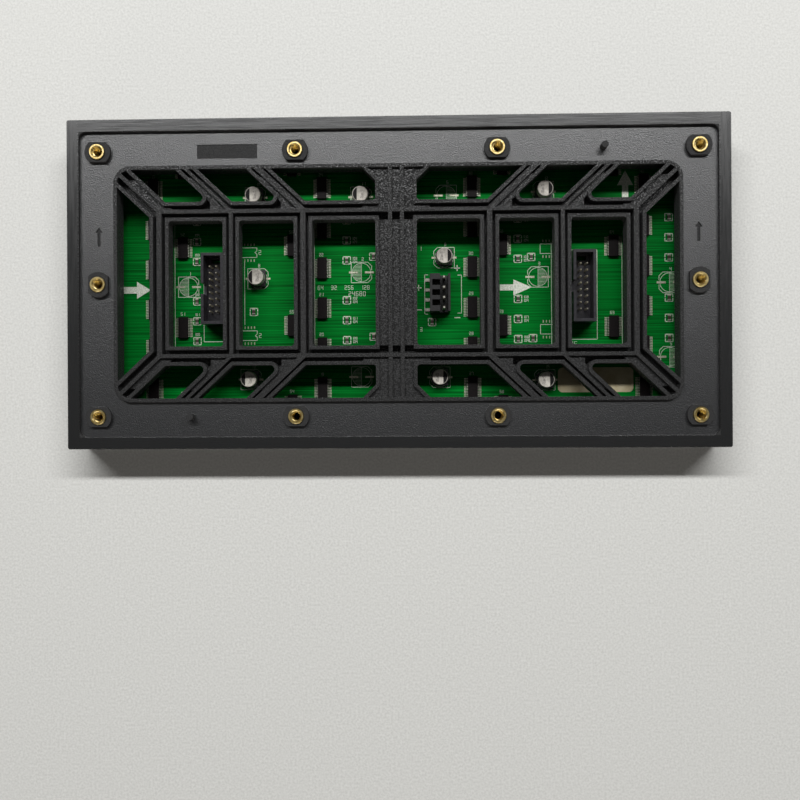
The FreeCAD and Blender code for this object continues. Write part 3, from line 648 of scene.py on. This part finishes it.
# Electrolytic capacitors
# Eight cans drawn from sheet, crimped over their rubber bungs and set on moulded bases. Each has a groove, a
# rolled edge and a flat top, with a printed segment on its negative side and plain figures beside it.
CAN_LOW, CAN_TOP = (corner.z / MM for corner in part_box("capacitor_cans"))
CAN_RADIUS = 3.15
can_levels = [(2.9, CAN_LOW), (3.1, CAN_LOW + 0.05), (CAN_RADIUS, CAN_LOW + 0.2), (CAN_RADIUS, CAN_LOW + 0.6),
              (2.95, CAN_LOW + 0.8), (2.95, CAN_LOW + 0.95), (CAN_RADIUS, CAN_LOW + 1.15),
              (CAN_RADIUS, CAN_TOP - 0.45), (3.1, CAN_TOP - 0.2), (2.96, CAN_TOP - 0.04),
              (2.85, CAN_TOP - 0.02), (2.82, CAN_TOP - 0.04)]
can_shell = loft(round_rings(can_levels, 48))
PRINT_LEVEL = (CAN_TOP - 0.045, CAN_TOP - 0.02)
# Drawn aluminium: pale and dull on top, faintly streaked down the sides.
aluminium = new_material("drawn_aluminium", "#ada89f", 0.6, Metallic=0.25)
feed(aluminium, "Base Color", tint(aluminium, grain(aluminium, 0.9), "#a19c93", "#b9b4ab"))
relief(aluminium, grain(aluminium, 0.3, (1.0, 1.0, 8.0)), 0.008)
# Can inks: a dead black for the segment and a thin grey for the figures.
can_ink = new_material("black_can_ink", "#0d0c0c", 0.7, Specular_IOR_Level=0.2)
feed(can_ink, "Base Color", tint(can_ink, grain(can_ink, 0.5), "#090808", "#151312"))
figure_ink = new_material("grey_can_ink", "#5f5a58", 0.5)
feed(figure_ink, "Base Color", tint(figure_ink, grain(figure_ink, 0.5), "#54504e", "#77726f"))
SEGMENT_RADIUS, SEGMENT_HALF_ANGLE = 2.8, 64.0
segments = [plate(circle(x, y, SEGMENT_RADIUS, angle - SEGMENT_HALF_ANGLE, angle + SEGMENT_HALF_ANGLE, 20),
                  *PRINT_LEVEL) for x, y, side in CANS for angle in [0.0 if side > 0 else 180.0]]
CAN_FIGURES = ((47, 0.55), (16, -0.6), (22, -1.75))
figures = np.concatenate([number(value, x - side * 0.95 - 0.75, y + rise, 0.8)
                          for x, y, side in CANS for value, rise in CAN_FIGURES])
can_shapes = [repeat(can_shell, [(x, y, 0) for x, y, side in CANS]), bars(figures, 0.14, *PRINT_LEVEL)]
cans = make_piece("capacitor_shells", can_shapes + segments,
                  [aluminium, figure_ink] + [can_ink] * len(segments), smooth=40.0)
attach(cans, "root")
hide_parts("capacitor_cans")
# Black nylon: the bases have a soft shine on rounded edges.
black_nylon = new_material("black_nylon", "#19191b", 0.38)
feed(black_nylon, "Base Color", tint(black_nylon, grain(black_nylon, 0.7), "#131315", "#232326"))
relief(black_nylon, grain(black_nylon, 0.3), 0.01, edge=0.15)
dress(["capacitor_bases"], black_nylon)


# Signal headers
# Two box headers for 2 x 8 way plugs, moulded with a key slot, with sixteen square pins each that are
# pressed through their floors.
# Glass-filled polyester: a glossy black that catches the light along its upper edges.
polyester = new_material("black_glossy_polyester", "#2a292d", 0.3)
feed(polyester, "Base Color", tint(polyester, grain(polyester, 0.8), "#222125", "#333237"))
relief(polyester, grain(polyester, 0.5), 0.01, edge=0.18)
dress(["input_header_shroud", "output_header_shroud"], polyester)
# Gold flash over nickel: thin and pale, almost white at the tips.
gold_flash = new_material("gold_flashed_pin", "#e6dfc4", 0.3, Metallic=0.8)
feed(gold_flash, "Base Color", tint(gold_flash, grain(gold_flash, 0.4), "#d9cfa9", "#f4f0e0"))
relief(gold_flash, grain(gold_flash, 0.2), 0.006)
PINS_PER_ROW = 8
PIN_HALF, PIN_TIP, PIN_TAPER = 0.32, 0.14, 0.5
for node in ("input_header_pins", "output_header_pins"):
    low, high = (np.array(corner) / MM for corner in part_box(node))
    pin = loft(square_rings([(PIN_HALF, PIN_HALF, low[2]), (PIN_HALF, PIN_HALF, high[2] - PIN_TAPER),
                             (PIN_TIP, PIN_TIP, high[2])]))
    places = [(x, y, 0) for x in (low[0] + PIN_HALF, high[0] - PIN_HALF)
              for y in np.linspace(low[1] + PIN_HALF, high[1] - PIN_HALF, PINS_PER_ROW)]
    pins = make_piece(node.replace("header", "tapered"), [repeat(pin, places)], [gold_flash])
    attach(pins, "root")
    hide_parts(node)


# Power header
# A four-way header for the supply, moulded with slotted tabs and a locking wall. Its stout tinned pins have
# legs that come out flat under it and are soldered to the board.
# Black nylon, as moulded: duller than the box headers, with the same rounded edges.
power_plastic = new_material("black_nylon_header", "#161517", 0.45, Specular_IOR_Level=0.35)
feed(power_plastic, "Base Color", tint(power_plastic, grain(power_plastic, 0.8), "#111012", "#1d1c1e"))
relief(power_plastic, grain(power_plastic, 0.4), 0.015, edge=0.18)
dress(["power_header_body"], power_plastic)
low, high = (np.array(corner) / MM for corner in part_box("power_header_pins"))
POWER_PIN_HALF, POWER_PIN_TIP, POWER_PIN_SHOULDER = 0.5, 0.28, 14.8
LEG_FOOT, LEG_TOP, LEG_HALF_WIDTH = BOARD_TOP + 0.02, BOARD_TOP + 0.5, 0.65
pin_x = high[0] - POWER_PIN_HALF
power_places = [(pin_x, y, 0) for y in np.linspace(low[1] + LEG_HALF_WIDTH, high[1] - LEG_HALF_WIDTH, 4)]
stout_pin = loft(square_rings([(POWER_PIN_HALF, POWER_PIN_HALF, LEG_FOOT),
                               (POWER_PIN_HALF, POWER_PIN_HALF, POWER_PIN_SHOULDER),
                               (POWER_PIN_TIP, POWER_PIN_TIP, high[2])]))
leg_half = (pin_x - low[0]) / 2
leg_rings = square_rings([(leg_half - 0.05, 0.62, LEG_FOOT), (leg_half, 0.64, LEG_FOOT + 0.08),
                          (leg_half, 0.64, LEG_TOP - 0.1), (leg_half - 0.08, 0.58, LEG_TOP)])
power_leg = loft(leg_rings + (-leg_half, 0.0, 0.0))
power_pins = make_piece("stout_power_pins",
                        [repeat(stout_pin, power_places), repeat(power_leg, power_places)], [tinned, tinned])
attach(power_pins, "root")
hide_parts("power_header_pins")


# Chip capacitors
# Small multilayer ceramic capacitors, fired in one block with an end cap at each end, and soldered down
# inside a printed box. They stand in even columns beside the chips, and six stand alone.
PART_COLUMNS = (-80.6, -20.2, 48.2, 108.0)
PART_STEP, FIRST_PART = 8.0, -21.3
chip_parts = [(x, PART_STEP * row + FIRST_PART, 0) for x in PART_COLUMNS for row in range(7) if row != 3]
chip_parts += [(-57.7, -9.7, 0), (-9.5, 12.1, 0), (-9.5, -20.0, 0), (13.9, -14.3, 0), (53.5, 11.4, 0),
               (54.1, -21.0, 0)]
# Fired ceramic: a dark, dull brown between bright ends.
ceramic = new_material("brown_ceramic", "#33251c", 0.5)
feed(ceramic, "Base Color", tint(ceramic, grain(ceramic, 0.6), "#281c15", "#403025"))
relief(ceramic, grain(ceramic, 0.3), 0.01)
BODY_LEVELS = ((0.56, 0.62, 6.05), (0.6, 0.62, 6.12), (0.6, 0.62, 6.7), (0.54, 0.62, 6.76))
END_LEVELS = ((0.6, 0.18, 6.0), (0.625, 0.2, 6.06), (0.625, 0.2, 6.74), (0.58, 0.16, 6.8))
FILLET_LEVELS = ((0.66, 0.3, 6.0), (0.5, 0.05, 6.35))
END_OUT, FILLET_OUT = 0.8, 1.15
part_body = loft(square_rings(BODY_LEVELS))
ends = [repeat(loft(square_rings(END_LEVELS) + (0.0, side * END_OUT, 0.0)), chip_parts) for side in (-1, 1)]
fillets = [repeat(loft(square_rings(FILLET_LEVELS) + (0.0, side * FILLET_OUT, 0.0)), chip_parts)
           for side in (-1, 1)]
small_parts = make_piece("chip_capacitors", [repeat(part_body, chip_parts)] + ends + fillets,
                         [ceramic, tinned, tinned, solder, solder])
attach(small_parts, "root")
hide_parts("small_chip_parts")
BOX_HALF, BOX_GAP, BOX_END = 1.5, 0.35, 1.45
BOX_WIDTH, MARK_WIDTH, MARK_HEIGHT = 0.3, 0.16, 0.9
PARTS_FROM, PART_VALUE = 100, 104
box_lines = [joined([(x - BOX_HALF, y + side * BOX_GAP), (x - BOX_HALF, y + side * BOX_END),
                     (x + BOX_HALF, y + side * BOX_END), (x + BOX_HALF, y + side * BOX_GAP)])
             for x, y, z in chip_parts for side in (-1, 1)]
mark_lines = [number(PARTS_FROM + index, x - 1.1, y + 2.2, MARK_HEIGHT)
              for index, (x, y, z) in enumerate(chip_parts[:6])]
mark_lines += [number(PARTS_FROM + index, x + 2.1, y + 0.3, MARK_HEIGHT)
               for index, (x, y, z) in enumerate(chip_parts[6:24])]
mark_lines += [number(PART_VALUE, x + 2.1, y - 1.1, MARK_HEIGHT) for x, y, z in chip_parts[6:24]]
part_print = make_piece("part_print", [bars(np.concatenate(box_lines), BOX_WIDTH, INK_LOW, INK_HIGH),
                                       bars(np.concatenate(mark_lines), MARK_WIDTH, INK_LOW, INK_HIGH)],
                        [ink, ink])
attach(part_print, "root")


# Label
# A paper sticker with rounded corners, left blank, that holds by its own glue to the board under the lower
# right windows.
# Yellowed paper: a dull buff with faint cloudy stains.
paper = new_material("yellowed_paper", "#bbaf8c", 0.7)
feed(paper, "Base Color", tint(paper, grain(paper, 5.0, detail=4.0), "#aea17c", "#c6bb9b"))
relief(paper, grain(paper, 0.5), 0.02)
dress(["blank_label"], paper)


# Potting
# Poured between the LEDs to seal the front of the board, and cured to a soft layer that the mask lies over.
# Silicone: black and smooth, with a low shine and slow waves from pouring.
silicone = new_material("black_silicone", "#151517", 0.3)
feed(silicone, "Base Color", tint(silicone, grain(silicone, 2.0), "#101012", "#1d1d20"))
relief(silicone, grain(silicone, 1.6), 0.05)
dress(["potting_layer"], silicone)


# LEDs
# A three-colour LED at each of the 2048 pixels: a moulded body with a bevelled cup and three dies on its
# floor, soldered to the front of the board.
COLUMNS, ROWS, PITCH = 64, 32, 4.0
led_low, led_high = (corner.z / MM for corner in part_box("led_rows"))
column_x, row_y = np.meshgrid((np.arange(COLUMNS) - (COLUMNS - 1) / 2) * PITCH,
                              (np.arange(ROWS) - (ROWS - 1) / 2) * PITCH)
led_places = np.stack([column_x.ravel(), row_y.ravel(), np.zeros(COLUMNS * ROWS)], axis=1)
cup = loft(square_rings([(0.48, 0.48, led_low + 0.3), (0.7, 0.7, led_low), (0.95, 0.95, led_low),
                         (0.95, 0.95, led_high)]))
# White polyamide under clear resin: a clean white with a second, wet-looking shine.
white_body = new_material("white_led_body", "#d8d8d2", 0.35, Coat_Weight=0.4)
feed(white_body, "Base Color", tint(white_body, grain(white_body, 0.6), "#cbcbc4", "#e2e2dc"))
relief(white_body, grain(white_body, 0.3), 0.01)
# Dies: small glossy chips, dark while the module is off.
die_colours = (("red_die", "#8a2a22"), ("green_die", "#2f7a4a"), ("blue_die", "#2b4a86"))
DIE_STEP = 0.3
dies, die_materials = [], []
for index, (name, colour) in enumerate(die_colours):
    die = loft(square_rings([(0.11, 0.11, led_low + 0.22), (0.12, 0.12, led_low + 0.31)])
               + (0.0, (index - 1) * DIE_STEP, 0.0))
    dies.append(repeat(die, led_places))
    die_material = new_material(name, colour, 0.25)
    relief(die_material, grain(die_material, 0.1), 0.005)
    die_materials.append(die_material)
leds = make_piece("led_packages", [repeat(cup, led_places)] + dies, [white_body] + die_materials)
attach(leds, "root")
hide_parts("led_rows")


# Louvred mask
# The front moulding, screwed on over the potting: a grid with a square opening for each LED, and a curved
# louvre over each row that keeps the sun off it.
mask_low, mask_high = (np.array(corner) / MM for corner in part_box("louvred_mask"))
OPENING = 1.15
PLATE_BACK, PLATE_FRONT = mask_high[2], 2.0
lines_x = np.sort(np.concatenate([column_x[0] - OPENING, column_x[0] + OPENING, [mask_low[0], mask_high[0]]]))
lines_y = np.sort(np.concatenate([row_y[:, 0] - OPENING, row_y[:, 0] + OPENING, [mask_low[1], mask_high[1]]]))
# The plate is a grid of lines at the openings' edges, in two layers. A cell is filled unless it is an
# opening, and a wall stands on each edge between a filled cell and an empty one.
count_x, count_y = len(lines_x), len(lines_y)
layer = count_y * count_x
grid = np.empty((2, count_y, count_x, 3))
grid[..., 0] = lines_x
grid[..., 1] = lines_y[:, None]
grid[0, ..., 2] = PLATE_FRONT
grid[1, ..., 2] = PLATE_BACK
front = np.arange(layer).reshape(count_y, count_x)
solid = ~((np.arange(count_y - 1) % 2 == 1)[:, None] & (np.arange(count_x - 1) % 2 == 1))
around_cell = [front[:-1, :-1], front[:-1, 1:], front[1:, 1:], front[1:, :-1]]
cell_back = [corner[solid] + layer for corner in around_cell]
cell_front = [corner[solid] for corner in around_cell[::-1]]
padded = np.pad(solid, 1)
walls = []
for axis in (0, 1):
    here, before = padded[1:-1, 1:], padded[1:-1, :-1]
    if axis:
        here, before = padded[1:, 1:-1], padded[:-1, 1:-1]
    for filled, other, order in ((here, before, -1), (before, here, 1)):
        edge = filled & ~other
        if axis:
            first, second = front[:, :-1][edge], front[:, 1:][edge]
        else:
            first, second = front[1:, :][edge], front[:-1, :][edge]
        face = [first, second, second + layer, first + layer]
        walls.append(np.stack(face[::order], axis=-1))
mask_faces = np.concatenate([np.stack(cell_back, axis=-1), np.stack(cell_front, axis=-1)] + walls)
mask_plate = (grid.reshape(-1, 3), mask_faces.ravel(), np.full(len(mask_faces), 4))
# A louvre's outline in Y and Z, sunk a little into the plate at its root and rounded at its tip. Its inner
# side bends with the square of the way from the tip.
LOUVRE_OUTER, LOUVRE_INNER, LOUVRE_BEND = 1.8, 1.4, 0.25
LOUVRE_ROOT = PLATE_FRONT + 0.02
from_tip = np.linspace(1.0, 0.0, 6)[1:-1]
inner_side = np.stack([LOUVRE_INNER - LOUVRE_BEND * from_tip ** 2, PLATE_FRONT * from_tip], axis=1)
louvre_side = np.concatenate([[(LOUVRE_OUTER, LOUVRE_ROOT), (OPENING, LOUVRE_ROOT)], inner_side,
                              [(LOUVRE_INNER, 0.12), (1.5, 0.0), (1.72, 0.0), (LOUVRE_OUTER, 0.1)]])
louvre_points = np.empty((2, len(louvre_side), 3))
louvre_points[..., 1:] = louvre_side
louvre_points[0, :, 0] = mask_low[0]
louvre_points[1, :, 0] = mask_high[0]
louvre = loft(louvre_points)
louvres = repeat(louvre, [(0.0, y, 0.0) for y in row_y[:, 0]])
# Matt polycarbonate: as black and dull as it can be moulded, for contrast.
matt_mask = new_material("matt_mask_plastic", "#1b1b1d", 0.72)
feed(matt_mask, "Base Color", tint(matt_mask, grain(matt_mask, 0.8), "#131315", "#262629"))
relief(matt_mask, grain(matt_mask, 0.25), 0.02)
mask = make_piece("mask_grid", [mask_plate, louvres], [matt_mask, matt_mask])
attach(mask, "root")
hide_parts("louvred_mask")


# Pieces that the lattice hides
# Four screws through the board into posts of the case, and the logic chips and row switches, soldered to the
# board under the middle ribs.
# Zinc plate: a bright, faintly mottled silver.
zinc = new_material("zinc_plated_steel", "#b9bbb8", 0.35, Metallic=1.0)
feed(zinc, "Base Color", tint(zinc, grain(zinc, 0.8), "#a2a4a1", "#cccecb"))
relief(zinc, grain(zinc, 0.3), 0.01)
dress(["board_screws"], zinc)
dress(["line_decoder", "signal_buffers", "row_switches"], epoxy)
